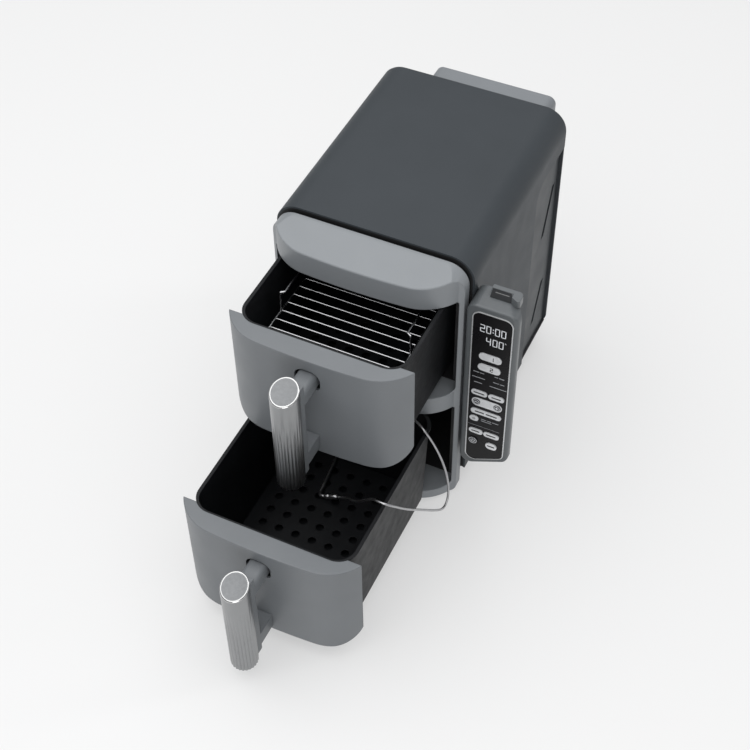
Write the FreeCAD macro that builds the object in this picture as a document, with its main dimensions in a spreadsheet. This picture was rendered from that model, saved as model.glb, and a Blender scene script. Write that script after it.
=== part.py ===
import FreeCAD, Part
import math
import os

import Sketcher

# Two-drawer air fryer in millimetres. X runs across the front, Y to the rear, Z up.
# While it is built, X = 0 is the middle of the drawers, Y = 0 the face of the front pillars
# and Z = 0 the worktop. Every sub-part is then placed so that the origin is the bottom centre
# of the whole object, with both drawers pulled out as they rest.

SIZES = {
    # wrap-around housing
    "body_width": 240.0,
    "body_height": 385.0,
    "wrap_front": 21.0,
    "wrap_rear": 300.0,
    "wrap_bottom": 37.0,
    "wrap_radius": 29.0,
    "wrap_wall": 2.4,
    # front frame with its hood, middle rail and sill
    "frame_inset": 4.0,
    "frame_radius": 25.0,
    "frame_depth": 16.0,
    "frame_foot_gap": 10.0,
    "opening_width": 222.0,
    "opening_height": 146.0,
    "rail_height": 26.0,
    "sill_height": 14.0,
    "hood_fall": 9.0,
    # bow of the hood, rails and drawer fronts, seen from above
    "bow_radius": 900.0,
    "bow_flat_half": 62.0,
    "bow_end_radius": 59.0,
    "bow_half": 110.0,
    # cavities
    "liner_half": 101.5,
    "liner_wall": 1.0,
    "liner_depth": 246.0,
    "liner_flange": 6.0,
    # drawers
    "upper_open": 111.0,
    "lower_open": 244.0,
    "panel_gap": 1.5,
    "panel_wall": 3.0,
    "panel_radius": 30.0,
    "ledge_thickness": 4.0,
    "basket_half": 97.0,
    "basket_taper": 6.0,
    "basket_length": 230.0,
    "basket_front": -8.0,
    "basket_wall": 2.0,
    "basket_radius": 22.0,
    "basket_lift": 4.0,
    "rim_width": 2.0,
    # handle
    "handle_reach": 81.0,
    "handle_radius": 16.0,
    "sleeve_wall": 1.2,
    "handle_tilt": 23.0,
    "arm_half": 11.0,
    "arm_height": 20.0,
    "flute_count": 36,
    "flute_radius": 0.9,
    # crisper plate and rack
    "plate_gap": 3.0,
    "plate_lift": 8.0,
    "plate_thickness": 2.0,
    "plate_hole": 5.0,
    "rack_half": 79.0,
    "rack_length": 190.0,
    "rack_height": 98.0,
    "rack_wire": 1.5,
    "rack_wires": 14,
    "loop_height": 29.0,
    "loop_lean": 5.0,
    # heater, fan and motor behind each cavity's guard
    "guard_half": 76.0,
    "guard_depth": 32.0,
    "guard_wall": 1.0,
    "heater_radius": 55.0,
    "heater_tube": 3.5,
    "fan_radius": 48.0,
    "fan_blades": 6,
    "shaft_radius": 2.5,
    "shaft_gap": 0.05,
    "motor_radius": 19.0,
    "motor_length": 20.0,
    # control panel
    "pod_width": 60.0,
    "pod_depth": 34.0,
    "pod_top": 346.0,
    "pod_bottom": 72.0,
    "pod_slant": 26.0,
    "fascia_margin": 8.5,
    "fascia_width": 45.5,
    "fascia_depth": 2.0,
    "fascia_radius": 9.0,
    "bezel_width": 1.2,
    "button_gap": 0.3,
    "button_travel": 0.8,
    # probe and its lead
    "lead_radius": 1.4,
    "probe_radius": 2.2,
    "foot_radius": 10.0,
    "cover_depth": 27.0,
}

doc = FreeCAD.newDocument("air_fryer")
sheet = doc.addObject("Spreadsheet::Sheet", "Sizes")


class Size:
    """A number that remembers the sheet formula it comes from."""

    def __init__(self, number, text):
        self.number = number
        self.text = text

    def __float__(self):
        return float(self.number)

    def join(self, other, sign, number):
        return Size(number, "(" + self.text + " " + sign + " " + formula(other) + ")")

    def __add__(self, other):
        return self.join(other, "+", self.number + float(other))

    def __sub__(self, other):
        return self.join(other, "-", self.number - float(other))

    def __mul__(self, other):
        return self.join(other, "*", self.number * float(other))

    def __truediv__(self, other):
        return self.join(other, "/", self.number / float(other))

    def __neg__(self):
        return Size(-self.number, "(0 - " + self.text + ")")

    def __radd__(self, other):
        return Size(float(other), repr(float(other))) + self

    def __rsub__(self, other):
        return Size(float(other), "(" + repr(float(other)) + ")") - self


def formula(value):
    if isinstance(value, Size):
        return value.text
    return "(" + repr(float(value)) + ")"


class Sheet:
    """Gives each cell of the sheet as a Size, by its alias."""

    def __init__(self):
        self.row = 0

    def add(self, name, value):
        self.row += 1
        cell = "A" + str(self.row)
        sheet.set(cell, repr(float(value)))
        sheet.setAlias(cell, name)
        setattr(self, name, Size(float(value), "Sizes." + name))


S = Sheet()
for size_name, size_value in SIZES.items():
    S.add(size_name, size_value)
doc.recompute()


def bow_depth():
    """How far the middle of the bow stands in front of its ends."""
    radius = SIZES["bow_radius"]
    end_radius = SIZES["bow_end_radius"]
    flat = SIZES["bow_flat_half"]
    start = math.asin(flat / radius)
    finish = math.asin(flat / radius + (SIZES["bow_half"] - flat) / end_radius)
    middle = radius * (1.0 - math.cos(start))
    ends = end_radius * (math.cos(start) - math.cos(finish))
    return middle, ends


bow_middle, bow_ends = bow_depth()
S.add("bow_middle", bow_middle)
S.add("bow_ends", bow_ends)
bow = S.bow_middle + S.bow_ends
half = S.body_width / 2
sill_top = S.frame_foot_gap + S.sill_height
LEVELS = {"lower": sill_top, "upper": sill_top + S.opening_height + S.rail_height}
OPEN = {"lower": S.lower_open, "upper": S.upper_open}
opening_top = sill_top + S.opening_height * 2 + S.rail_height
frame_half = half - S.frame_inset
frame_top = S.body_height - S.frame_inset
liner_rear = S.frame_depth + S.liner_depth
guard_front = liner_rear - S.guard_depth
pod_left = half
pod_right = half + S.pod_width
rear_face = S.wrap_rear + S.wrap_wall
cover_rear = rear_face + S.cover_depth
handle_front = S.handle_reach + S.lower_open + S.handle_radius
centre_x = (pod_right - half) / 2
centre_y = (cover_rear - handle_front) / 2
SUBPARTS = []

GLAND_X = -88.0
GLAND_Z = 75.0
GLAND_BORE = 6.0
FAN_BLADES = int(SIZES["fan_blades"])
JACK_X = 58.0
JACK_FACE = -35.0
JACK_RADIUS = 5.0


# ---------- helpers ----------

def bind(thing, prop, value):
    """Sets a property and ties it to the sheet when it comes from a size."""
    if isinstance(value, Size):
        thing.setExpression(prop, value.text)
    else:
        thing.setExpression(prop, formula(value))


def move(thing, x, y, z):
    bind(thing, "Placement.Base.x", x)
    bind(thing, "Placement.Base.y", y)
    bind(thing, "Placement.Base.z", z)


def finish(thing, label):
    """Names a sub-part and places it in the object's own frame."""
    thing.Label = label
    move(thing, -centre_x, -centre_y, 0)
    SUBPARTS.append(thing)
    return thing


def box(x, y, z):
    """A box from three pairs of limits."""
    solid = doc.addObject("Part::Box", "block")
    bind(solid, "Length", x[1] - x[0])
    bind(solid, "Width", y[1] - y[0])
    bind(solid, "Height", z[1] - z[0])
    move(solid, x[0], y[0], z[0])
    return solid


TURNS = {
    "x": FreeCAD.Rotation(FreeCAD.Vector(0, 1, 0), 90),
    "y": FreeCAD.Rotation(FreeCAD.Vector(1, 0, 0), -90),
    "z": FreeCAD.Rotation(),
}


def rod(radius, length, place, axis="z"):
    """A cylinder that starts at a place and runs along +X, +Y or +Z."""
    solid = doc.addObject("Part::Cylinder", "rod")
    solid.Placement = FreeCAD.Placement(FreeCAD.Vector(), TURNS[axis])
    bind(solid, "Radius", radius)
    bind(solid, "Height", length)
    move(solid, *place)
    return solid


def cut(base, *tools):
    result = doc.addObject("Part::Cut", "cut")
    result.Base = base
    result.Tool = tools[0] if len(tools) == 1 else fuse(*tools)
    return result


def fuse(*pieces):
    result = doc.addObject("Part::MultiFuse", "union")
    result.Shapes = list(pieces)
    return result


def common(*pieces):
    result = doc.addObject("Part::MultiCommon", "shared")
    result.Shapes = list(pieces)
    return result


def group(*pieces):
    """Separate solids that make one sub-part."""
    result = doc.addObject("Part::Compound", "group")
    result.Links = list(pieces)
    return result


def round_edges(base, radius, wanted):
    """Fillets the edges for which wanted(edge) holds."""
    doc.recompute()
    result = doc.addObject("Part::Fillet", "rounded")
    result.Base = base
    edges = base.Shape.Edges
    result.Edges = [(i + 1, float(radius), float(radius)) for i, e in enumerate(edges) if wanted(e)]
    return result


PLANES = {
    "xy": FreeCAD.Rotation(),
    "xz": FreeCAD.Rotation(FreeCAD.Vector(1, 0, 0), 90),
    "yz": FreeCAD.Rotation(0.5, 0.5, 0.5, 0.5),
}


def draw(sketch, points):
    """Draws a closed outline. A point is (u, v) for a line up to it, or (u, v, radius) for an
    arc up to it: a positive radius turns left and a negative one right."""
    count = len(points)
    for i in range(count):
        u0, v0 = float(points[i - 1][0]), float(points[i - 1][1])
        u1, v1 = float(points[i][0]), float(points[i][1])
        start = FreeCAD.Vector(u0, v0, 0)
        end = FreeCAD.Vector(u1, v1, 0)
        if len(points[i]) == 2:
            sketch.addGeometry(Part.LineSegment(start, end), False)
            continue
        radius = abs(float(points[i][2]))
        left = float(points[i][2]) > 0
        chord = end - start
        rise = math.sqrt(max(radius ** 2 - (chord.Length / 2) ** 2, 0.0))
        side = FreeCAD.Vector(-chord.y, chord.x, 0).normalize() * (rise if left else -rise)
        centre = start + chord * 0.5 + side
        first, last = (start, end) if left else (end, start)
        angle0 = math.atan2(first.y - centre.y, first.x - centre.x)
        angle1 = math.atan2(last.y - centre.y, last.x - centre.x)
        circle = Part.Circle(centre, FreeCAD.Vector(0, 0, 1), radius)
        sketch.addGeometry(Part.ArcOfCircle(circle, angle0, angle1), False)
    for i in range(count):
        arc = len(points[i]) == 3
        tail, head = (1, 2)
        if arc and float(points[i][2]) < 0:
            tail, head = (2, 1)
        following = (i + 1) % count
        next_tail = 1
        if len(points[following]) == 3 and float(points[following][2]) < 0:
            next_tail = 2
        sketch.addConstraint(Sketcher.Constraint("Coincident", i, head, following, next_tail))
        for kind, value in (("DistanceX", points[i][0]), ("DistanceY", points[i][1])):
            number = sketch.addConstraint(Sketcher.Constraint(kind, -1, 1, i, head, float(value)))
            if isinstance(value, Size):
                bind(sketch, "Constraints[" + str(number) + "]", value)
        if arc:
            radius = points[i][2] if float(points[i][2]) > 0 else -points[i][2]
            number = sketch.addConstraint(Sketcher.Constraint("Radius", i, float(radius)))
            if isinstance(radius, Size):
                bind(sketch, "Constraints[" + str(number) + "]", radius)
    return sketch


def prism(plane, points, low, high):
    """Extrudes an outline. Planes are xy (along Z), xz (along Y) and yz (along X)."""
    sketch = doc.addObject("Sketcher::SketchObject", "outline")
    sketch.Placement = FreeCAD.Placement(FreeCAD.Vector(), PLANES[plane])
    draw(sketch, points)
    bind(sketch, "Placement.Base." + {"xy": "z", "xz": "y", "yz": "x"}[plane], low)
    solid = doc.addObject("Part::Extrusion", "prism")
    solid.Base = sketch
    solid.DirMode = "Custom"
    solid.Dir = {"xy": (0, 0, 1), "xz": (0, 1, 0), "yz": (1, 0, 0)}[plane]
    solid.Solid = True
    bind(solid, "LengthFwd", high - low)
    return solid


def rounded(u, v, low_radius, high_radius):
    """A rectangle with rounded corners; a radius of None leaves them square."""
    points = []
    if low_radius is None:
        points += [(u[0], v[0]), (u[1], v[0])]
    else:
        points += [(u[0], v[0] + low_radius), (u[0] + low_radius, v[0], low_radius)]
        points += [(u[1] - low_radius, v[0]), (u[1], v[0] + low_radius, low_radius)]
    if high_radius is None:
        points += [(u[1], v[1]), (u[0], v[1])]
    else:
        points += [(u[1], v[1] - high_radius), (u[1] - high_radius, v[1], high_radius)]
        points += [(u[0] + high_radius, v[1]), (u[0], v[1] - high_radius, high_radius)]
    return points


def bow_outline(y, inset, back):
    """The bowed front seen from above, closed by a straight back."""
    end = S.bow_half - inset
    flat = S.bow_flat_half
    front = y - S.bow_ends + inset
    points = [
        (-flat, front, S.bow_end_radius - inset),
        (flat, front, S.bow_radius - inset),
        (end, y, S.bow_end_radius - inset),
    ]
    if back is not None:
        points += [(end, back), (-end, back)]
    return points + [(-end, y)]


def pill(centre, width, height, low, high, corner=0.49):
    """A plate with round ends in the XZ plane, from Y = low to Y = high."""
    u, v = centre
    radius = height * corner
    across = (u - width / 2, u + width / 2)
    up = (v - height / 2, v + height / 2)
    return prism("xz", rounded(across, up, radius, radius), low, high)


# ---------- housing ----------

def make_wrap():
    """The wrap-around cover, with a window on each side for the recessed vent panel."""
    wall = S.wrap_wall
    span = (S.wrap_bottom, S.body_height)
    outside = prism("xz", rounded((-half, half), span, None, S.wrap_radius), S.wrap_front, S.wrap_rear)
    inner_half = half - wall
    inner = rounded(
        (-inner_half, inner_half), (S.wrap_bottom - 5, S.body_height - wall), None, S.wrap_radius - wall
    )
    inside = prism("xz", inner, S.wrap_front - 1, S.wrap_rear + 1)
    window = prism("yz", vent_window(0), -half - 1, half + 1)
    finish(cut(outside, inside, window), "outer_wrap")


VENT_FRONT = S.wrap_rear - 88
VENT_TOP = S.body_height - 50


def vent_window(inset):
    """The recess at the rear of each side, open to the rear and below, seen along X."""
    radius = 25
    front = VENT_FRONT + inset
    top = VENT_TOP - inset
    return [
        (front, S.wrap_bottom - 1),
        (S.wrap_rear + 1, S.wrap_bottom - 1),
        (S.wrap_rear + 1, top),
        (front + radius, top),
        (front, top - radius, radius),
    ]


def make_vent_panels():
    """The recessed side panels with two leaning vent slots each."""
    outer = half - S.wrap_wall
    floor_depth = 3
    thickness = 2
    slots = [(250, 70, 276, 128), (258, 216, 284, 284)]
    sides = []
    for side in (-1, 1):
        far = outer if side > 0 else -outer + floor_depth + thickness
        near = outer - floor_depth - thickness if side > 0 else -outer
        plate = box((near, far), (VENT_FRONT - 6, S.wrap_rear), (S.wrap_bottom + 1, VENT_TOP + 6))
        dish_low = outer - floor_depth if side > 0 else -outer - 1
        dish_high = outer + 1 if side > 0 else -outer + floor_depth
        dish = prism("yz", vent_window(1), dish_low, dish_high)
        tools = [dish]
        for y0, z0, y1, z1 in slots:
            width = 9
            lean = [(y0, z0), (y0 + width, z0), (y1 + width, z1), (y1, z1)]
            tools.append(prism("yz", lean, near - 1, far + 1))
        sides.append(cut(plate, *tools))
    finish(group(*sides), "side_vent_panels")


def make_front_frame():
    """The light frame: pillars, hood, middle rail and sill in one moulding."""
    pillar = 4
    end = S.bow_half
    front = -S.bow_ends
    plan = [
        (-S.bow_flat_half, front, S.bow_end_radius),
        (S.bow_flat_half, front, S.bow_radius),
        (end, 0, S.bow_end_radius),
        (frame_half, pillar),
        (frame_half, S.frame_depth),
        (-frame_half, S.frame_depth),
        (-frame_half, pillar),
        (-end, 0),
    ]
    column = prism("xy", plan, S.frame_foot_gap, frame_top)
    span = (S.frame_foot_gap, frame_top)
    face = prism("xz", rounded((-frame_half, frame_half), span, 8, S.frame_radius), -bow - 2, S.frame_depth)
    block = common(column, face)
    fall = [
        (-bow - 6, frame_top - S.hood_fall - 1),
        (S.frame_depth - 4, frame_top),
        (S.frame_depth - 4, frame_top + 2),
        (-bow - 6, frame_top + 2),
    ]
    tools = [prism("yz", fall, -frame_half - 1, frame_half + 1)]
    across = (-S.opening_width / 2, S.opening_width / 2)
    for level in LEVELS.values():
        up = (level, level + S.opening_height)
        tools.append(prism("xz", rounded(across, up, 8, 3), -bow - 5, S.frame_depth + 1))
    hollow = 78
    wall = 4
    rail = LEVELS["lower"] + S.opening_height
    for low, high in ((rail + wall, rail + S.rail_height - wall), (opening_top + wall, frame_top - 16)):
        tools.append(box((-hollow, hollow), (-16, S.frame_depth + 1), (low, high)))
    tools.append(rod(JACK_RADIUS, 40, (JACK_X, -40, rail + S.rail_height / 2), "y"))
    body = cut(block, *tools)
    limit = -float(bow) * 0.55
    crease = float(frame_top - S.hood_fall)

    def on_bow(edge):
        lies_flat = edge.BoundBox.ZLength < 0.01
        return lies_flat and edge.BoundBox.YMin < limit and edge.BoundBox.YLength > 0.5

    def on_crease(edge):
        bounds = edge.BoundBox
        near = crease - 1 < bounds.Center.z < crease + 6
        return near and bounds.YMax < 1 and bounds.XLength > 5 and bounds.YLength > 0.5

    body = round_edges(body, 1.0, on_bow)
    finish(round_edges(body, 2.0, on_crease), "front_frame")


def make_gasket():
    """The dark ring that sits back between the front frame and the wrap."""
    legs = S.wrap_bottom + 1
    outer = half - 8
    top = S.body_height - 9
    inside = S.liner_half + S.liner_wall + S.liner_flange
    hole = rounded((-inside, inside), (legs - 5, opening_top + S.liner_flange + 1), None, None)
    opening = prism("xz", hole, S.frame_depth - 1, S.wrap_front + 12)
    front = prism("xz", rounded((-outer, outer), (legs, top), None, 20), S.frame_depth, S.wrap_front)
    seat_half = half - S.wrap_wall
    seat_top = S.body_height - S.wrap_wall
    seat = rounded((-seat_half, seat_half), (legs, seat_top), None, S.wrap_radius - S.wrap_wall)
    back = prism("xz", seat, S.wrap_front, S.wrap_front + 9)
    finish(cut(fuse(front, back), opening), "front_gasket")


def make_rear():
    """The rear panel with its vent slots, and the lighter cover that stands out behind it."""
    inset = 1
    across = (-half + inset, half - inset)
    span = (S.wrap_bottom - 4, S.body_height - inset)
    outline = rounded(across, span, 12, S.wrap_radius - inset)
    panel = prism("xz", outline, S.wrap_rear, rear_face)
    tools = []
    for i in range(6):
        tools.append(pill((-90, 120 + i * 22), 34, 8, S.wrap_rear - 1, rear_face + 1))
    tools.append(rod(GLAND_BORE, 6, (GLAND_X, S.wrap_rear - 1, GLAND_Z), "y"))
    finish(cut(panel, *tools), "rear_panel")
    wall = 2.2
    left, right = -60, 95
    low, high = 60, S.body_height - 5
    outside = prism("xz", rounded((left, right), (low, high), 10, 10), rear_face, cover_rear)
    inside = rounded((left + wall, right - wall), (low + wall, high - wall), 8, 8)
    hollow = prism("xz", inside, rear_face - 1, cover_rear - wall)
    tools = [hollow]
    for i in range(9):
        tools.append(pill((17.5, 130 + i * 20), 110, 7, rear_face + 10, cover_rear + 1))
    body = cut(outside, *tools)
    rear = float(cover_rear)

    def on_rim(edge):
        outside_edge = edge.BoundBox.XMin < left + 12 or edge.BoundBox.XMax > right - 12
        long_edge = edge.BoundBox.XLength > 120
        at_rear = abs(edge.BoundBox.YMin - rear) < 0.01 and edge.BoundBox.YLength < 0.01
        at_side = outside_edge and (edge.BoundBox.ZLength > 200 or edge.BoundBox.XLength < 11)
        at_corner = at_side and (edge.BoundBox.XMin < left + 0.01 or edge.BoundBox.XMax > right - 0.01)
        return at_rear and (long_edge or at_corner)

    finish(round_edges(body, 2.0, on_rim), "rear_cover")


def make_base():
    """The inset base tray with its flange, and four rubber feet."""
    wall = 2
    tray_half = S.liner_half + 6
    low = S.frame_foot_gap + 2
    flange_low = S.wrap_bottom - 1
    flange_high = S.wrap_bottom + 1
    front = S.frame_depth + S.liner_wall
    tray = box((-tray_half, tray_half), (front, S.wrap_rear), (low, flange_high))
    reach = half - S.wrap_wall
    flange = box((-reach, reach), (S.wrap_front + 9, S.wrap_rear), (flange_low, flange_high))
    inner = tray_half - wall
    hollow = box((-inner, inner), (front - 1, S.wrap_rear - wall), (low + wall, flange_high + 1))
    finish(cut(fuse(tray, flange), hollow), "base_pan")
    foot_x = S.liner_half * 0.85
    feet = []
    for x in (-foot_x, foot_x):
        for y in (45, 265):
            feet.append(rod(S.foot_radius, low, (x, y, 0)))
    finish(group(*feet), "rubber_feet")


def make_cavity(name, level):
    """One sheet-metal cavity with its front flange and a bore for the fan shaft."""
    wall = S.liner_wall
    inner = S.liner_half
    low = level + 0.5
    high = level + S.opening_height - 0.5
    outer = inner + wall
    shell = box((-outer, outer), (S.frame_depth, liner_rear), (low - wall, high + wall))
    edge = outer + S.liner_flange - 0.5
    rise = wall + 5
    flange = box((-edge, edge), (S.frame_depth, S.frame_depth + wall), (low - rise, high + rise))
    hollow = box((-inner, inner), (S.frame_depth - 1, liner_rear - wall), (low, high))
    middle_z = level + S.opening_height / 2
    bore = rod(S.shaft_radius * 1.6, wall * 6, (0, liner_rear - wall * 3, middle_z), "y")
    finish(cut(fuse(shell, flange), hollow, bore), name + "_cavity")


def make_divider():
    rail = LEVELS["lower"] + S.opening_height
    gap = S.rail_height / 2
    reach = S.liner_half + 5
    plate = box((-reach, reach), (S.wrap_front + 10, liner_rear), (rail + gap - 0.75, rail + gap + 0.75))
    finish(group(plate), "divider_plate")


def make_air_unit(name, level):
    """Guard, ring heater, fan on its shaft and motor, all round one axis along Y."""
    middle_z = level + S.opening_height / 2
    wall = S.guard_wall
    guard_rear = liner_rear - S.liner_wall
    wide = S.guard_half
    tall = S.guard_half * 0.82
    outside = box((-wide, wide), (guard_front, guard_rear), (middle_z - tall, middle_z + tall))
    wide = S.guard_half - wall
    tall = tall - wall
    deep = (guard_front + wall, guard_rear + 1)
    inside = box((-wide, wide), deep, (middle_z - tall, middle_z + tall))
    holes = []
    for ring, count in ((16, 6), (30, 12), (44, 16)):
        for i in range(count):
            angle = 2 * math.pi * i / count
            place = (ring * math.cos(angle), guard_front - 1, middle_z + ring * math.sin(angle))
            holes.append(rod(4.2, wall * 4, place, "y"))
    finish(cut(outside, inside, *holes), name + "_fan_guard")

    ring = doc.addObject("Part::Torus", "ring")
    bind(ring, "Radius1", S.heater_radius)
    bind(ring, "Radius2", S.heater_tube)
    ring.Placement = FreeCAD.Placement(FreeCAD.Vector(), TURNS["y"])
    move(ring, 0, guard_front + 8, middle_z)
    tails = []
    for x in (-8, 8):
        start = (x, guard_front + 8, middle_z - S.heater_radius + 0.5)
        tails.append(rod(S.heater_tube * 0.8, S.guard_depth - 9, start, "y"))
    finish(fuse(ring, *tails), name + "_heater")

    shaft_front = guard_front + 6
    shaft = rod(S.shaft_radius, S.wrap_rear - 4 - shaft_front, (0, shaft_front, middle_z), "y")
    hub = rod(9, 12, (0, guard_front + 14, middle_z), "y")
    back = rod(S.fan_radius, 1.2, (0, guard_front + 25, middle_z), "y")
    pieces = [shaft, hub, back]
    for i in range(FAN_BLADES):
        blade = doc.addObject("Part::Box", "blade")
        bind(blade, "Length", S.fan_radius - 4)
        bind(blade, "Width", 11)
        bind(blade, "Height", 1.4)
        turn = FreeCAD.Rotation(FreeCAD.Vector(0, 1, 0), 360.0 * i / FAN_BLADES)
        blade.Placement = FreeCAD.Placement(FreeCAD.Vector(), turn)
        move(blade, 0, guard_front + 14.5, middle_z)
        pieces.append(blade)
    finish(fuse(*pieces), name + "_fan")

    bore = S.shaft_radius + S.shaft_gap
    can = rod(S.motor_radius, S.motor_length, (0, liner_rear, middle_z), "y")
    nose = rod(S.motor_radius * 0.4, 4, (0, liner_rear + S.motor_length, middle_z), "y")
    hole = rod(bore, S.motor_length + 10, (0, liner_rear - 2, middle_z), "y")
    finish(cut(fuse(can, nose), hole), name + "_motor")


def make_inner_parts():
    """Sensors, drawer switches, power board and the screws of the case."""
    sensors = []
    switches = []
    for level in LEVELS.values():
        high = level + S.opening_height - 22
        sensors.append(rod(2.5, 20, (90, liner_rear - S.liner_wall - 20, high), "y"))
        side = S.liner_half + S.liner_wall
        deep = (S.wrap_front + 12, S.wrap_front + 30)
        switches.append(box((side, side + 8), deep, (level + 60, level + 74)))
    finish(group(*sensors), "temperature_sensors")
    finish(group(*switches), "drawer_switches")
    side = S.liner_half + S.liner_wall + 3
    board = box((side, side + 1.6), (90, 190), (60, 160))
    relay = box((side + 1.6, side + 9), (110, 130), (80, 100))
    choke = box((side + 1.6, side + 9), (145, 175), (110, 140))
    finish(fuse(board, relay, choke), "power_board")
    screw_x = half - 16
    screws = []
    for x in (-screw_x, screw_x):
        for z in (50, 340):
            screws.append(rod(3.2, 1.8, (x, rear_face, z), "y"))
    finish(group(*screws), "case_screws")
    head = rod(GLAND_BORE + 3, 4, (GLAND_X, rear_face, GLAND_Z), "y")
    neck = rod(GLAND_BORE, 16, (GLAND_X, S.wrap_rear - 4, GLAND_Z), "y")
    bore = rod(3.4, 30, (GLAND_X, S.wrap_rear - 10, GLAND_Z), "y")
    finish(cut(fuse(head, neck), bore), "cord_gland")


# ---------- drawers ----------

def basket_section(half_width, front, rear, radius):
    return rounded((-half_width, half_width), (front, rear), radius, radius)


def loft(low, high, low_outline, high_outline):
    sections = []
    for z, points in ((low, low_outline), (high, high_outline)):
        sketch = doc.addObject("Sketcher::SketchObject", "section")
        draw(sketch, points)
        bind(sketch, "Placement.Base.z", z)
        sections.append(sketch)
    result = doc.addObject("Part::Loft", "tapered")
    result.Sections = sections
    result.Solid = True
    result.Ruled = True
    return result


def make_basket(name, level, shift):
    """The deep drawn basket, tapered downwards, with a narrow rim round its top."""
    low = level + S.basket_lift
    high = level + S.opening_height - S.panel_gap
    taper = S.basket_taper
    wall = S.basket_wall
    front = S.basket_front - shift
    rear = front + S.basket_length
    radius = S.basket_radius

    def section(inset):
        return basket_section(S.basket_half - inset, front + inset, rear - inset, radius - inset * 0.5)

    outside = loft(low, high, section(taper), section(0))
    floor = float(low)
    outside = round_edges(outside, 10.0, lambda e: abs(e.BoundBox.ZMax - floor) < 0.01)
    inside = loft(low + wall, high + 1, section(taper + wall), section(wall))
    inner_floor = floor + float(wall)
    inside = round_edges(inside, 9.0, lambda e: abs(e.BoundBox.ZMax - inner_floor) < 0.01)
    lip = S.rim_width
    rim_section = basket_section(S.basket_half + lip, front, rear + lip, radius + lip)
    rim = prism("xy", rim_section, high - 2.4, high)
    finish(cut(fuse(outside, rim), inside), name + "_basket")


def make_panel(name, level, shift):
    """The bowed drawer front: a thin curved wall under a flat ledge that follows the rim."""
    low = level + S.panel_gap
    high = level + S.opening_height - S.panel_gap
    y = -shift
    tip = 0.6
    column = prism("xy", bow_outline(y, tip, None), low, high)
    side = S.bow_half
    face = rounded((-side, side), (low, high), S.panel_radius, None)
    shape = common(column, prism("xz", face, y - bow - 2, y + 2))
    wall = S.panel_wall
    inner_column = prism("xy", bow_outline(y, tip + wall, y + 5), low - 1, high - S.ledge_thickness)
    inner_face = rounded((-side + wall, side - wall), (low + wall, high), S.panel_radius - wall, None)
    inner = common(inner_column, prism("xz", inner_face, y - bow - 2, y + 6))
    rim = S.basket_half + S.rim_width
    front = S.basket_front - shift
    rear = front + S.basket_length
    seat = prism("xy", basket_section(rim, front, rear, S.basket_radius + S.rim_width), low, high + 1)
    arm = S.arm_half + 4
    window_low = high - 21 - S.arm_height
    window = rounded((-arm, arm), (window_low, window_low + S.arm_height + 6), 6, 12)
    recess = prism("xz", window, y - bow - 2, y - bow + wall + 8)
    foot = S.arm_half
    through = (y - bow - 2, y - bow + wall + 8)
    lower_recess = box((-foot, foot), through, (low + 8, low + 8 + S.arm_height))
    body = cut(shape, inner, seat, recess, lower_recess)
    top = float(high)
    limit = float(y) - float(bow) * 0.3

    def on_ledge(edge):
        box_of = edge.BoundBox
        at_top = box_of.ZMin > top - 0.01 and box_of.XLength > 20
        return at_top and box_of.YMin < limit and box_of.YMax < limit + 12

    finish(round_edges(body, 1.2, on_ledge), name + "_front_panel")


def make_handle(name, level, shift):
    """Bracket with its core, the fluted steel sleeve that wraps it and the slanted cap."""
    low = level + S.panel_gap
    high = level + S.opening_height - S.panel_gap
    axis_y = -shift - S.handle_reach
    radius = S.handle_radius
    bore = radius - S.sleeve_wall
    panel_y = -shift - bow + S.panel_wall
    basket_y = S.basket_front - shift + 0.7
    arm_low = high - 18 - S.arm_height
    across = (-S.arm_half, S.arm_half)
    arm_face = rounded(across, (arm_low, arm_low + S.arm_height), 2, 6)
    upper = prism("xz", arm_face, axis_y + 4, basket_y)
    lower = box(across, (axis_y + 4, panel_y + 8), (low + 8, low + 8 + S.arm_height))
    spine_outer = axis_y + radius + 5
    spine = box(across, (axis_y + radius - 5, spine_outer), (low, high - 6))
    around = rod(radius + 0.05, high - low + 20, (0, axis_y, low - 10))
    hugging = cut(fuse(upper, lower, spine), around)
    core = rod(bore, high - low - 14, (0, axis_y, low + 1))
    web_half = 4.0
    web = box((-web_half, web_half), (axis_y + 2, spine_outer), (low + 1, high - 14))
    bracket = fuse(hugging, core, web)
    finish(bracket, name + "_handle_bracket")

    tube = rod(radius, high - low + 12, (0, axis_y, low))
    hole = rod(bore, high - low + 14, (0, axis_y, low - 1))
    seam = box((-web_half, web_half), (axis_y + 2, axis_y + radius + 2), (low - 1, high + 20))
    lid = slanted_lid(axis_y, high, 0)
    flutes = []
    count = int(SIZES["flute_count"])
    for i in range(count):
        angle = 2 * math.pi * (i + 0.5) / count
        if math.sin(angle) > 0.8:
            continue
        reach = radius + 0.25
        x = reach * math.cos(angle)
        y = axis_y + reach * math.sin(angle)
        top = 24.0 - float(reach) * math.sin(angle) * math.tan(math.radians(SIZES["handle_tilt"]))
        flutes.append(rod(S.flute_radius, high - low - top, (x, y, low - 1)))
    finish(cut(tube, hole, seam, lid, *flutes), name + "_handle_sleeve")

    disc = rod(radius, 30, (0, axis_y, high - 14))
    above = slanted_lid(axis_y, high, 1.6)
    below_cut = cut(disc, above)
    plug = cut(below_cut, slanted_floor(axis_y, high, 0))
    finish(plug, name + "_handle_cap")


def slanted_lid(axis_y, high, raise_by):
    """Everything above the plane that slants down towards the front across the handle."""
    slope = math.tan(math.radians(SIZES["handle_tilt"]))
    reach = 30
    low_z = high + raise_by - reach * slope
    high_z = high + raise_by + reach * slope
    points = [(axis_y - reach, low_z), (axis_y + reach, high_z), (axis_y + reach, high + 60)]
    points.append((axis_y - reach, high + 60))
    return prism("yz", points, -30, 30)


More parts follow.
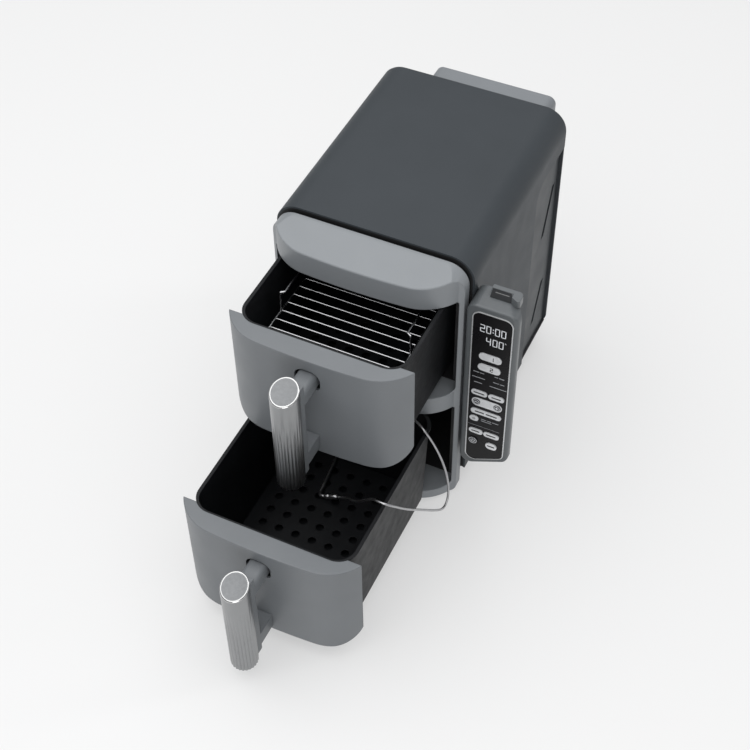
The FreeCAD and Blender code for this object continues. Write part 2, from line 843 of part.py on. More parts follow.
def slanted_floor(axis_y, high, raise_by):
    """Everything below the same plane."""
    slope = math.tan(math.radians(SIZES["handle_tilt"]))
    reach = 30
    low_z = high + raise_by - reach * slope
    high_z = high + raise_by + reach * slope
    points = [(axis_y - reach, high - 60), (axis_y + reach, high - 60)]
    points += [(axis_y + reach, high_z), (axis_y - reach, low_z)]
    return prism("yz", points, -30, 30)


def make_crisper(name, level, shift):
    """The slotted plate that stands on the basket floor."""
    floor = level + S.basket_lift + S.basket_wall
    low = floor + S.plate_lift
    inset = S.basket_wall + S.basket_taper + S.plate_gap
    reach = S.basket_half - inset
    front = S.basket_front - shift + inset
    rear = S.basket_front - shift + S.basket_length - inset
    corner = S.basket_radius - inset * 0.5
    plate = prism("xy", basket_section(reach, front, rear, corner), low, low + S.plate_thickness)
    holes = []
    for i in range(-3, 4):
        for j in range(-4, 5):
            place = (i * 22.0, (front + rear) / 2 + j * 21.0, low - 1)
            holes.append(rod(S.plate_hole, S.plate_thickness + 2, place))
    body = cut(plate, *holes)
    legs = []
    for x in (-55, 55):
        for y in (-73.5, 73.5):
            legs.append(rod(5, S.plate_lift + 0.5, (x, (front + rear) / 2 + y, floor)))
    finish(fuse(body, *legs), name + "_crisper_plate")


def make_rack(level, shift):
    """The wire rack: two side rails, cross wires, legs and a raised loop on each side."""
    inset = S.basket_wall + S.basket_taper + S.plate_gap
    plate_top = level + S.basket_lift + S.basket_wall + S.plate_lift + S.plate_thickness
    z = level + S.rack_height + 4
    front = S.basket_front - shift + inset + 9
    wire = S.rack_wire
    pieces = []
    loops = []
    loop_front = front + 45
    loop_rear = front + 137
    for side in (-1, 1):
        x = S.rack_half * side
        top_x = (S.rack_half - S.loop_lean) * side
        top_z = z + S.loop_height
        pieces.append(rod(wire, S.rack_length, (x, front, z), "y"))
        for y, step in ((loop_front, S.loop_lean), (loop_rear, -S.loop_lean)):
            foot = (x, y, z + wire)
            shoulder = (x, y, top_z - S.loop_lean)
            corner = (top_x, y + step * 0.6, top_z)
            loops += [bar(foot, shoulder, wire * 0.9), ball(shoulder, wire * 0.9)]
            loops += [bar(shoulder, corner, wire * 0.9), ball(corner, wire * 0.9)]
        ends = [(top_x, loop_front + S.loop_lean * 0.6, top_z)]
        ends.append((top_x, loop_rear - S.loop_lean * 0.6, top_z))
        loops.append(bar(*ends, wire * 0.9))
        for y in (front + 12, front + S.rack_length - 12):
            pieces.append(rod(wire * 0.85, z - plate_top, (x, y, plate_top)))
    count = int(SIZES["rack_wires"])
    for i in range(count):
        y = front + 4 + (S.rack_length - 8) * (i / (count - 1))
        pieces.append(rod(wire * 0.8, S.rack_half * 2, (-S.rack_half, y, z), "x"))
    rack = fuse(*pieces)
    finish(rack, "wire_rack")
    finish(cut(fuse(*loops), rack), "rack_loops")


# ---------- control panel ----------

FASCIA_LEFT = pod_left + S.fascia_margin
FASCIA_RIGHT = FASCIA_LEFT + S.fascia_width
FASCIA_TOP = S.pod_top - S.fascia_margin
PANEL_X = FASCIA_LEFT + S.fascia_width / 2


def slanted_plate(x, low, top, radius):
    """A rounded plate whose lower edge rises to the right."""
    slope = SIZES["pod_slant"] / 52.0
    lean = math.atan(slope)
    quarter = math.pi / 4
    run_left = radius * math.tan(quarter + lean / 2)
    run_right = radius * math.tan(quarter - lean / 2)
    c, s = math.cos(lean), math.sin(lean)
    right_low = low + (x[1] - x[0]) * slope
    return [
        (x[0], low + run_left),
        (x[0] + run_left * c, low + run_left * s, radius),
        (x[1] - run_right * c, right_low - run_right * s),
        (x[1], right_low + run_right, radius),
        (x[1], top - radius),
        (x[1] - radius, top, radius),
        (x[0] + radius, top),
        (x[0], top - radius, radius),
    ]


def fascia_plate(grow, front, rear):
    """The fascia's outline, grown or shrunk all round, between two depths."""
    x = (FASCIA_LEFT - grow, FASCIA_RIGHT + grow)
    low = S.pod_bottom + 12 - grow
    return prism("xz", slanted_plate(x, low, FASCIA_TOP + grow, S.fascia_radius + grow), front, rear)


CASE_X = (pod_left + 21, pod_left + 47)
CASE_Y = (18.5, 28.5)
CASE_LOW = S.pod_top - 44


def make_pod():
    """The side pod, its fascia and bezel, and the boards behind them."""
    depth = S.pod_depth
    face = prism("xz", slanted_plate((pod_left, pod_right), S.pod_bottom, S.pod_top, 12), -1, depth + 1)
    plan = [
        (pod_left, 0),
        (pod_right - 6, 0),
        (pod_right, 6, 6),
        (pod_right, 10),
        (pod_right - 12, depth - 8),
        (pod_right - 24, depth),
        (pod_left, depth),
    ]
    column = prism("xy", plan, S.pod_bottom - 1, S.pod_top + 1)
    shape = common(face, column)
    rim = 0.0

    def on_front(edge):
        return abs(edge.BoundBox.YMax - rim) < 0.01 and edge.BoundBox.YLength < 0.01

    shape = round_edges(shape, 2.5, on_front)
    seat = fascia_plate(S.bezel_width, -1, S.fascia_depth)
    deep = fascia_plate(-1.5, -1, 9.5)
    gap = 0.5
    sleeve_x = (CASE_X[0] - gap, CASE_X[1] + gap)
    sleeve_y = (CASE_Y[0] - gap, CASE_Y[1] + gap)
    sleeve = box(sleeve_x, sleeve_y, (CASE_LOW - 1, S.pod_top + 1))
    finish(cut(shape, seat, deep, sleeve), "pod_housing")

    ring = cut(fascia_plate(S.bezel_width, -0.8, S.fascia_depth), fascia_plate(0, -1, 3))
    finish(ring, "fascia_bezel")
    board_x = (FASCIA_LEFT + 6, FASCIA_RIGHT - 4)
    board = box(board_x, (6, 7.6), (S.pod_bottom + 45, FASCIA_TOP - 8))
    display_x = (FASCIA_LEFT + 8, FASCIA_RIGHT - 6)
    display = box(display_x, (S.fascia_depth, 6), (FASCIA_TOP - 52, FASCIA_TOP - 10))
    finish(fuse(board, display), "display_board")

    left, right = CASE_X
    front, rear = CASE_Y
    seat_z = S.pod_top + 0.3
    head_top = seat_z + 9.7
    case = box(CASE_X, CASE_Y, (CASE_LOW, seat_z + 1))
    bay = box((left + 2, right - 2), (front - 1, rear - 2), (CASE_LOW + 2, S.pod_top - 4))
    head_plan = [
        (left - 2, front),
        (right - 3, front - 1),
        (right + 4.5, front - 5),
        (right + 7.5, front - 2, 3.0),
        (right + 7.5, rear - 5.5),
        (right + 1.5, rear + 0.5, 6.0),
        (left - 2, rear + 0.5),
    ]
    head = prism("xy", head_plan, seat_z, head_top)
    lean = 6.0
    slope = [(front - 8, seat_z - 0.4), (front - 0.6, seat_z - 0.4)]
    slope += [(front - 0.6 + lean, head_top + 0.4), (front - 8, head_top + 0.4)]
    front_cut = prism("yz", slope, left - 10, right - 3)
    groove_y = front + lean * 0.58
    groove = box((left + 3, right - 7), (groove_y - 6, groove_y), (seat_z + 5.4, seat_z + 6.8))
    finish(cut(fuse(case, head), bay, front_cut, groove), "probe_case")


# Name, X and Z of the middle, width and height of each push button, from the middle of the
# fascia and down from its top
BUTTONS = [
    ("zone_one_button", 0.0, -65.5, 27.0, 10.5),
    ("zone_two_button", -0.5, -83.0, 27.0, 10.5),
    ("match_button", -10.4, -127.5, 19.4, 8.0),
    ("sync_button", 10.4, -127.5, 19.4, 8.0),
    ("minus_button", -13.0, -143.5, 8.4, 8.4),
    ("plus_button", 12.2, -143.5, 8.4, 8.4),
    ("preset_button", -0.6, -159.8, 37.5, 8.4),
    ("probe_button", -14.8, -173.2, 11.0, 8.4),
    ("time_button", -11.6, -195.2, 17.4, 8.0),
    ("heat_button", 7.6, -195.2, 19.4, 8.0),
    ("power_button", -14.6, -213.2, 11.0, 11.0),
    ("start_button", 8.4, -214.2, 14.0, 10.4),
]
ARROW_PLATE = (-0.4, -143.5, 37.0, 13.4)


def panel_place(across, down):
    return (PANEL_X + across, FASCIA_TOP + down)


def make_controls():
    """The glossy fascia with its button holes, the arrow plate and the push buttons."""
    fascia_front = -0.4
    gap = S.button_gap
    travel = S.button_travel
    front = fascia_front - travel - 0.3
    holes = []
    for name, across, down, width, height in BUTTONS:
        place = panel_place(across, down)
        holes.append(pill(place, gap * 2 + width, gap * 2 + height, -3, S.fascia_depth + 3))
        finish(pill(place, width, height, front, S.fascia_depth + 0.2), name)
    finish(cut(fascia_plate(0, fascia_front, S.fascia_depth), *holes), "fascia")
    across, down, width, height = ARROW_PLATE
    plate = pill(panel_place(across, down), width, height, fascia_front - 0.5, fascia_front)
    plate_holes = []
    for name, across, down, width, height in BUTTONS:
        if name in ("minus_button", "plus_button"):
            size = gap * 2 + width
            plate_holes.append(pill(panel_place(across, down), size, size, -3, 3))
    finish(cut(plate, *plate_holes), "arrow_plate")


# ---------- probe and lead ----------

LEAD_ROUTE = [
    (72.2, -41.5, 181.2),
    (84.0, -45.5, 178.7),
    (99.2, -53.9, 175.8),
    (108.0, -46.4, 147.3),
    (116.0, -39.3, 112.0),
    (122.5, -38.5, 82.0),
    (127.0, -46.0, 62.0),
    (128.0, -62.0, 57.0),
    (124.5, -83.0, 78.0),
    (120.0, -110.0, 110.0),
    (117.0, -138.0, 143.0),
    (113.6, -153.0, 162.0),
    (110.0, -161.0, 172.5),
    (105.0, -167.0, 179.5),
    (97.5, -169.0, 182.0),
    (90.5, -167.5, 180.0),
    (84.0, -161.0, 171.0),
    (73.0, -149.3, 151.5),
    (53.0, -132.0, 115.0),
    (30.0, -108.5, 75.5),
    (17.2, -94.3, 56.4),
    (4.0, -95.4, 52.0),
]
PROBE_BEND = (-21.0, -97.5, 43.6)
PROBE_TIP = (-28.9, -31.5, 42.6)


def bar(start, end, radius, end_radius=None):
    """A straight bar, or a taper, between two points."""
    first = FreeCAD.Vector(*[float(v) for v in start])
    last = FreeCAD.Vector(*[float(v) for v in end])
    along = last - first
    if end_radius is None:
        solid = doc.addObject("Part::Cylinder", "bar")
        bind(solid, "Radius", radius)
    else:
        solid = doc.addObject("Part::Cone", "taper")
        bind(solid, "Radius1", radius)
        bind(solid, "Radius2", end_radius)
    bind(solid, "Height", along.Length)
    solid.Placement = FreeCAD.Placement(first, FreeCAD.Rotation(FreeCAD.Vector(0, 0, 1), along))
    return solid


def ball(place, radius):
    solid = doc.addObject("Part::Sphere", "ball")
    bind(solid, "Radius", radius)
    solid.Placement.Base = FreeCAD.Vector(*[float(v) for v in place])
    return solid


def make_probe():
    """The jack in the middle rail, the angled plug and the bent probe on the lower plate."""
    rail = float(LEVELS["lower"] + S.opening_height + S.rail_height / 2)
    head = rod(JACK_RADIUS + 1.5, 3, (JACK_X, JACK_FACE, rail), "y")
    neck = rod(JACK_RADIUS, 20, (JACK_X, JACK_FACE + 2, rail), "y")
    socket = rod(1.8, 16, (JACK_X, JACK_FACE - 1, rail), "y")
    finish(cut(fuse(head, neck), socket), "probe_jack")
    start = FreeCAD.Vector(*LEAD_ROUTE[0])
    along = (FreeCAD.Vector(*LEAD_ROUTE[1]) - start).normalize()
    body = rod(4.8, 9, (JACK_X, JACK_FACE - 9, rail), "y")
    tip = rod(1.8, 14, (JACK_X, JACK_FACE - 1, rail), "y")
    boot = bar(start - along * 12, start, 2.6, 2.2)
    finish(fuse(body, tip, boot), "probe_plug")
    last = LEAD_ROUTE[-1]
    grip = bar(last, PROBE_BEND, 3.2, S.probe_radius)
    corner = ball(PROBE_BEND, S.probe_radius)
    neck_end = [PROBE_BEND[i] + (PROBE_TIP[i] - PROBE_BEND[i]) * 0.88 for i in range(3)]
    needle = bar(PROBE_BEND, neck_end, S.probe_radius)
    point = bar(neck_end, PROBE_TIP, S.probe_radius, 0.4)
    finish(fuse(grip, corner, needle, point), "probe")


def route_wire(points):
    """Straight runs joined by tangent arcs, each as large as its two runs allow."""
    corners = [FreeCAD.Vector(*p) for p in points]
    edges = []
    start = corners[0]
    for i in range(1, len(corners) - 1):
        before = corners[i] - corners[i - 1]
        after = corners[i + 1] - corners[i]
        shorter = min(before.Length, after.Length)
        turn = before.getAngle(after)
        reach = 0.45 * shorter
        radius = reach / math.tan(turn / 2)
        before.normalize()
        after.normalize()
        first = corners[i] - before * reach
        last = corners[i] + after * reach
        bisector = (after - before).normalize()
        centre = corners[i] + bisector * math.hypot(radius, reach)
        halfway = centre - bisector * radius
        edges.append(Part.LineSegment(start, first).toShape())
        edges.append(Part.Arc(first, halfway, last).toShape())
        start = last
    edges.append(Part.LineSegment(start, corners[-1]).toShape())
    return Part.Wire(edges)


def make_lead():
    """The braided lead, a plain tube along its route."""
    radius = float(S.lead_radius)
    path = route_wire(LEAD_ROUTE)
    direction = FreeCAD.Vector(*LEAD_ROUTE[1]) - FreeCAD.Vector(*LEAD_ROUTE[0])
    section = Part.Wire([Part.makeCircle(radius, FreeCAD.Vector(*LEAD_ROUTE[0]), direction)])
    tube = path.makePipeShell([section], True, False)
    print("lead length", round(path.Length, 1))
    lead = doc.addObject("Part::Feature", "lead")
    lead.Shape = tube
    finish(lead, "probe_lead")


# ---------- assembly ----------

def build_all():
    make_wrap()
    make_vent_panels()
    make_front_frame()
    make_gasket()
    make_rear()
    make_base()
    make_divider()
    make_inner_parts()
    for name, level in LEVELS.items():
        shift = OPEN[name]
        make_cavity(name, level)
        make_air_unit(name, level)
        make_basket(name, level, shift)
        make_panel(name, level, shift)
        make_handle(name, level, shift)
        make_crisper(name, level, shift)
    make_rack(LEVELS["upper"], OPEN["upper"])
    make_pod()
    make_controls()
    make_probe()
    make_lead()


def check_and_export():
    doc.recompute()
    for thing in doc.Objects:
        if "Invalid" in thing.State or "Error" in thing.State:
            raise RuntimeError("failed object: " + thing.Name + " " + thing.Label)
    for part in SUBPARTS:
        if part.Shape.isNull() or not part.Shape.isValid():
            raise RuntimeError("bad shape: " + part.Label)
    os.makedirs("parts", exist_ok=True)
    for part in SUBPARTS:
        part.Shape.exportStep(os.path.join("parts", part.Label + ".step"))
    print("sub-parts:", len(SUBPARTS))


build_all()
check_and_export()
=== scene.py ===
"""Air fryer with two drawers pulled out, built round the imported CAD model."""
import math

import bmesh
import bpy
from mathutils import Matrix, Vector


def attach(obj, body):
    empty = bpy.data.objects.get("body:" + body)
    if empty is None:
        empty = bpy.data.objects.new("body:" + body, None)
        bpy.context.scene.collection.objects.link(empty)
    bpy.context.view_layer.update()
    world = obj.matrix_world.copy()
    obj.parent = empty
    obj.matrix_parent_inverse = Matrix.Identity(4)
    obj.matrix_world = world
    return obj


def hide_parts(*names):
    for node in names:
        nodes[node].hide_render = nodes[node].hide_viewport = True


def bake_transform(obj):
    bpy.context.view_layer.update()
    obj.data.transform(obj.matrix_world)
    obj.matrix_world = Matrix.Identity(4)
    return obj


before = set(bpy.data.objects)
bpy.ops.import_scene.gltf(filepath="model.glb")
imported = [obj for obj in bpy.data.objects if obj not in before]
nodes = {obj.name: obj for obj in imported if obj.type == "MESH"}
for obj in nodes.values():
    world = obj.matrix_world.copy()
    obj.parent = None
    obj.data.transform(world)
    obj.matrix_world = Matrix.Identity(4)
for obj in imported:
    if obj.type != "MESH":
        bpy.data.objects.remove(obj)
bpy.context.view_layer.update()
scene = bpy.context.scene

MM = 0.001
# The CAD's drawers are centred on X = 0 while it is drawn; its object frame is moved by this
SHIFT = Vector((-30.0, 5.8, 0.0)) * MM


def at(x, y, z):
    """A point of the CAD's drawing, in millimetres, as a point of the row frame in metres."""
    return Vector((x, y, z)) * MM + SHIFT


# ---------- camera ----------

CAMERA_PLACE = Vector((0.48518, -1.02819, 1.46392))
CAMERA_TARGET = Vector((-0.02314, 0.01084, 0.17142))
CAMERA_ROLL = math.radians(-0.8973)
SENSOR_WIDTH = 36.0
LENS = 70.44
FAR_CLIP = 50.0


def make_camera():
    """The camera that was fitted to the photograph's edges."""
    data = bpy.data.cameras.new("camera")
    data.sensor_width = SENSOR_WIDTH
    data.lens = LENS
    data.clip_end = FAR_CLIP
    camera = bpy.data.objects.new("camera", data)
    scene.collection.objects.link(camera)
    turn = (CAMERA_TARGET - CAMERA_PLACE).to_track_quat("-Z", "Y").to_matrix().to_4x4()
    camera.matrix_world = Matrix.Translation(CAMERA_PLACE) @ turn @ Matrix.Rotation(CAMERA_ROLL, 4, "Z")
    scene.camera = camera


make_camera()


# ---------- materials ----------

GRAIN_DETAIL = 3.0
MOTTLE_DETAIL = 5.0
SMEAR_DETAIL = 6.0
SMEAR_PER_MOTTLE = 2.3
# Noise stays near its middle, so this part of its range is spread over the whole change
NOISE_LOW, NOISE_HIGH = 0.3, 0.7
SMOOTHEST = 0.02
BEVEL_SAMPLES = 6


def noise(tree, place, scale, detail):
    """The value of a noise texture at a place."""
    texture = tree.nodes.new("ShaderNodeTexNoise")
    texture.inputs["Scale"].default_value = scale
    texture.inputs["Detail"].default_value = detail
    tree.links.new(place, texture.inputs["Vector"])
    return texture.outputs["Fac"]


def add_relief(tree, place, grain, depth, edge, stretch):
    """Softened edges, and fine grain on top of them."""
    normal = None
    if edge:
        bevel = tree.nodes.new("ShaderNodeBevel")
        bevel.samples = BEVEL_SAMPLES
        bevel.inputs["Radius"].default_value = edge
        normal = bevel.outputs["Normal"]
    if grain:
        scaled = tree.nodes.new("ShaderNodeMapping")
        scaled.inputs["Scale"].default_value = stretch
        tree.links.new(place, scaled.inputs["Vector"])
        bump = tree.nodes.new("ShaderNodeBump")
        bump.inputs["Strength"].default_value = 1.0
        bump.inputs["Distance"].default_value = depth
        tree.links.new(noise(tree, scaled.outputs["Vector"], grain, GRAIN_DETAIL), bump.inputs["Height"])
        if normal:
            tree.links.new(normal, bump.inputs["Normal"])
        normal = bump.outputs["Normal"]
    if normal:
        tree.links.new(normal, tree.nodes["Principled BSDF"].inputs["Normal"])


def add_mottle(tree, place, color, amount, scale):
    """A slow change of lightness around the colour."""
    ramp = tree.nodes.new("ShaderNodeValToRGB")
    dark, light = ramp.color_ramp.elements
    dark.position, light.position = NOISE_LOW, NOISE_HIGH
    dark.color = (*[c * (1.0 - amount) for c in color], 1.0)
    light.color = (*[min(1.0, c * (1.0 + amount)) for c in color], 1.0)
    tree.links.new(noise(tree, place, scale, MOTTLE_DETAIL), ramp.inputs["Fac"])
    tree.links.new(ramp.outputs["Color"], tree.nodes["Principled BSDF"].inputs["Base Color"])


def add_smear(tree, place, rough, amount, scale):
    """Uneven gloss around the roughness."""
    spread = tree.nodes.new("ShaderNodeMapRange")
    spread.inputs["From Min"].default_value = NOISE_LOW
    spread.inputs["From Max"].default_value = NOISE_HIGH
    spread.inputs["To Min"].default_value = max(SMOOTHEST, rough - amount)
    spread.inputs["To Max"].default_value = rough + amount
    tree.links.new(noise(tree, place, scale, SMEAR_DETAIL), spread.inputs["Value"])
    tree.links.new(spread.outputs["Result"], tree.nodes["Principled BSDF"].inputs["Roughness"])


def shade(name, color, rough, metallic=0.0, grain=0.0, depth=0.0, mottle=0.0, mottle_scale=14.0,
          rough_spread=0.0, edge=0.0, stretch=(1.0, 1.0, 1.0), specular=0.5, anisotropic=0.0):
    """A Principled material with fine grain, slow colour change, uneven gloss and soft edges."""
    material = bpy.data.materials.new(name)
    material.use_nodes = True
    tree = material.node_tree
    shader = tree.nodes["Principled BSDF"]
    shader.inputs["Base Color"].default_value = (*color, 1.0)
    shader.inputs["Roughness"].default_value = rough
    shader.inputs["Metallic"].default_value = metallic
    shader.inputs["Specular IOR Level"].default_value = specular
    shader.inputs["Anisotropic"].default_value = anisotropic
    place = tree.nodes.new("ShaderNodeTexCoord").outputs["Object"]
    add_relief(tree, place, grain, depth, edge, stretch)
    if mottle:
        add_mottle(tree, place, color, mottle, mottle_scale)
    if rough_spread:
        add_smear(tree, place, rough, rough_spread, mottle_scale * SMEAR_PER_MOTTLE)
    return material


WRAP = shade("wrap_coat", (0.038, 0.044, 0.05), 0.5, grain=1600, depth=0.00012, mottle=0.04,
             rough_spread=0.03, edge=0.0008, specular=0.24)
WRAP_PLASTIC = shade("wrap_plastic", (0.032, 0.037, 0.042), 0.5, grain=1500, depth=0.0001, mottle=0.06,
                     rough_spread=0.05, edge=0.0008)
FRAME = shade("frame_plastic", (0.2, 0.213, 0.226), 0.42, grain=1800, depth=0.00005, mottle=0.035,
              rough_spread=0.04, edge=0.0014)
PANEL = shade("panel_plastic", (0.142, 0.152, 0.162), 0.42, grain=1800, depth=0.00005, mottle=0.035,
              rough_spread=0.04, edge=0.0011)
COVER = shade("cover_plastic", (0.175, 0.187, 0.2), 0.42, grain=1800, depth=0.00005, mottle=0.035,
              rough_spread=0.04, edge=0.0011)
# Near-black plastic: the real black of the switches, cord gland and jack, and on the front gasket a
# painted shade that stands for the dark recess between the wrap and the front frame.
BLACK_PLASTIC_AND_GAP_SHADE = shade("gap_plastic", (0.008, 0.008, 0.009), 0.6, grain=900, depth=0.0001, mottle=0.2, edge=0.0004)
POD = shade("pod_plastic", (0.088, 0.096, 0.102), 0.34, grain=900, depth=0.00006, mottle=0.06,
            rough_spread=0.05, edge=0.001, stretch=(0.05, 1.0, 1.0))
BASKET = shade("basket_coat", (0.007, 0.0076, 0.0088), 0.5, specular=0.22, grain=700, depth=0.00006,
               mottle=0.2, mottle_scale=30.0, rough_spread=0.06, edge=0.0008)
CAVITY = shade("cavity_coat", (0.018, 0.018, 0.019), 0.4, grain=500, depth=0.00006, mottle=0.2,
               mottle_scale=25.0, rough_spread=0.1, edge=0.0004)
BASE_STEEL = shade("base_steel", (0.02, 0.02, 0.022), 0.5, grain=600, depth=0.0001, mottle=0.15,
                   rough_spread=0.08, edge=0.0005)
RUBBER = shade("foot_rubber", (0.014, 0.014, 0.014), 0.8, grain=1200, depth=0.0002, mottle=0.15,
               edge=0.0008)
HANDLE = shade("handle_steel", (0.3, 0.305, 0.31), 0.3, metallic=1.0, grain=900, depth=0.00001,
               mottle=0.02, mottle_scale=60.0, rough_spread=0.02, stretch=(1.0, 1.0, 0.015),
               anisotropic=0.4)
CAP_FACE = shade("cap_steel", (0.19, 0.195, 0.2), 0.46, metallic=1.0, grain=2400, depth=0.00003,
                 mottle=0.06, mottle_scale=300.0, rough_spread=0.05)
CAP_RING = shade("cap_ring", (0.5, 0.5, 0.5), 0.16, metallic=1.0, grain=600, depth=0.00001,
                 mottle=0.03, rough_spread=0.03)
CHROME = shade("rack_chrome", (0.42, 0.42, 0.43), 0.2, metallic=1.0, grain=500, depth=0.00001,
               mottle=0.06, mottle_scale=60.0, rough_spread=0.05)
BARE_STEEL = shade("heater_steel", (0.35, 0.35, 0.35), 0.35, metallic=1.0, grain=700, depth=0.00002,
                   mottle=0.15, mottle_scale=40.0, rough_spread=0.1)
ALLOY = shade("fan_alloy", (0.55, 0.55, 0.56), 0.4, metallic=1.0, grain=900, depth=0.00003,
              mottle=0.08, rough_spread=0.08)
MOTOR = shade("motor_steel", (0.2, 0.2, 0.21), 0.45, metallic=0.6, grain=700, depth=0.00003,
              mottle=0.1, rough_spread=0.08)
BOARD = shade("board", (0.015, 0.09, 0.04), 0.45, grain=900, depth=0.00005, mottle=0.2,
              mottle_scale=120.0)
FASCIA = shade("fascia_gloss", (0.0045, 0.004, 0.005), 0.3, grain=1200, depth=0.00001, mottle=0.15,
               rough_spread=0.05, specular=0.22)
BEZEL = shade("bezel_silver", (0.72, 0.73, 0.74), 0.3, metallic=0.6, grain=900, depth=0.00001,
              mottle=0.05, rough_spread=0.04)
SILVER = shade("button_silver", (0.72, 0.73, 0.75), 0.32, metallic=0.3, grain=1400, depth=0.00002,
               mottle=0.08, mottle_scale=160.0, rough_spread=0.05, edge=0.0003)
DARK_KEY = shade("button_dark", (0.02, 0.02, 0.022), 0.3, grain=900, depth=0.00002, mottle=0.15,
                 rough_spread=0.04, edge=0.0003)
PROBE_STEEL = shade("lead_steel", (0.42, 0.42, 0.43), 0.34, metallic=1.0, grain=900, depth=0.00001,
                    mottle=0.08, mottle_scale=90.0, rough_spread=0.06)
LABEL = shade("mark_grey", (0.36, 0.37, 0.39), 0.5, grain=900, depth=0.00001, mottle=0.03)
MARK = shade("mark_white", (0.82, 0.84, 0.88), 0.5, grain=900, depth=0.00001, mottle=0.03)
MARK_DARK = shade("mark_dark", (0.012, 0.012, 0.014), 0.5, grain=900, depth=0.00001, mottle=0.1)
CASE_FACE = shade("case_face", (0.012, 0.013, 0.015), 0.35, grain=900, depth=0.00002, mottle=0.1)

NODE_MATERIALS = {
    # The front gasket's near-black is painted shade for the recess between the wrap and the front frame.
    "outer_wrap": WRAP, "side_vent_panels": WRAP_PLASTIC, "front_frame": FRAME,
    "front_gasket": BLACK_PLASTIC_AND_GAP_SHADE, "rear_panel": WRAP_PLASTIC, "rear_cover": COVER, "base_pan": BASE_STEEL,
    "rubber_feet": RUBBER, "divider_plate": BASE_STEEL, "temperature_sensors": BARE_STEEL,
    "drawer_switches": BLACK_PLASTIC_AND_GAP_SHADE, "power_board": BOARD, "case_screws": BARE_STEEL, "cord_gland": BLACK_PLASTIC_AND_GAP_SHADE,
    "wire_rack": CHROME, "rack_loops": CHROME, "pod_housing": POD, "fascia": FASCIA, "fascia_bezel": BEZEL,
    "display_board": BOARD, "probe_case": POD, "arrow_plate": SILVER, "zone_one_button": SILVER,
    "zone_two_button": SILVER, "match_button": SILVER, "sync_button": SILVER,
    "minus_button": DARK_KEY, "plus_button": DARK_KEY, "preset_button": SILVER,
    "probe_button": SILVER, "time_button": SILVER, "heat_button": SILVER,
    "power_button": DARK_KEY, "start_button": SILVER, "probe_jack": BLACK_PLASTIC_AND_GAP_SHADE, "probe_plug": PROBE_STEEL,
    "probe": PROBE_STEEL, "probe_lead": PROBE_STEEL,
}
ZONE_MATERIALS = {
    "cavity": CAVITY, "fan_guard": CAVITY, "heater": BARE_STEEL, "fan": ALLOY, "motor": MOTOR,
    "basket": BASKET, "front_panel": PANEL, "handle_bracket": PANEL, "handle_sleeve": HANDLE,
    "handle_cap": CAP_FACE, "crisper_plate": BASKET,
}
ZONES = ("lower", "upper")
BRACKET_BEVEL = 2.4 * MM
BRACKET_BEVEL_STEPS = 4
BRACKET_BEVEL_ANGLE = math.radians(60)


def dress_nodes():
    """Gives every CAD piece its material, and the handle brackets a rounded edge."""
    wanted = dict(NODE_MATERIALS)
    for zone in ZONES:
        for part, material in ZONE_MATERIALS.items():
            wanted[zone + "_" + part] = material
    for name, node in nodes.items():
        node.data.materials.clear()
        node.data.materials.append(wanted[name])
        if name.endswith("handle_bracket"):
            soften = node.modifiers.new("soften", "BEVEL")
            soften.width = BRACKET_BEVEL
            soften.segments = BRACKET_BEVEL_STEPS
            soften.angle_limit = BRACKET_BEVEL_ANGLE


dress_nodes()


# ---------- mesh helpers ----------

def piece(name, points, faces, materials, body, smooth=True, picks=None):
    """A new mesh with the given materials, which rides on a body when one is given."""
    data = bpy.data.meshes.new(name)
    data.from_pydata([tuple(p) for p in points], [], faces)
    data.validate()
    for material in materials:
        data.materials.append(material)
    data.shade_smooth() if smooth else data.shade_flat()
    if picks:
        data.polygons.foreach_set("material_index", picks)
    item = bpy.data.objects.new(name, data)
    scene.collection.objects.link(item)
    tidy = bmesh.new()
    tidy.from_mesh(data)
    bmesh.ops.recalc_face_normals(tidy, faces=tidy.faces)
    tidy.to_mesh(data)
    tidy.free()
    if body:
        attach(item, body)
    return item


def spline_points(points, resolution):
    """Points along the NURBS spline of a route."""
    curve = bpy.data.curves.new("route", "CURVE")
    curve.dimensions = "3D"
    spline = curve.splines.new("NURBS")
    spline.points.add(len(points) - 1)
    for target, point in zip(spline.points, points):
        target.co = (*point, 1.0)
    spline.order_u = 3
    spline.use_endpoint_u = True
    curve.resolution_u = resolution
    holder = bpy.data.objects.new("route", curve)
    scene.collection.objects.link(holder)
    bpy.context.view_layer.update()
    line = bpy.data.meshes.new_from_object(holder.evaluated_get(bpy.context.evaluated_depsgraph_get()))
    found = [vertex.co.copy() for vertex in line.vertices]
    bpy.data.objects.remove(holder)
    bpy.data.meshes.remove(line)
    return found


def tube(path, radii, sides):
    """Points and faces of a closed tube along a path, without twist."""
    count = len(path)
    if not hasattr(radii, "__len__"):
        radii = [radii] * count
    points, faces = [], []
    across = None
    for i, place in enumerate(path):
        along = (path[min(i + 1, count - 1)] - path[max(i - 1, 0)]).normalized()
        if across is None:
            across = along.orthogonal().normalized()
        across = (across - along * across.dot(along)).normalized()
        other = along.cross(across)
        for k in range(sides):
            turn = 2 * math.pi * k / sides
            points.append(place + (across * math.cos(turn) + other * math.sin(turn)) * radii[i])
    for i in range(count - 1):
        for k in range(sides):
            a, b = i * sides + k, i * sides + (k + 1) % sides
            faces.append((a, b, b + sides, a + sides))
    faces.append(tuple(range(sides))[::-1])
    faces.append(tuple((count - 1) * sides + k for k in range(sides)))
    return points, faces


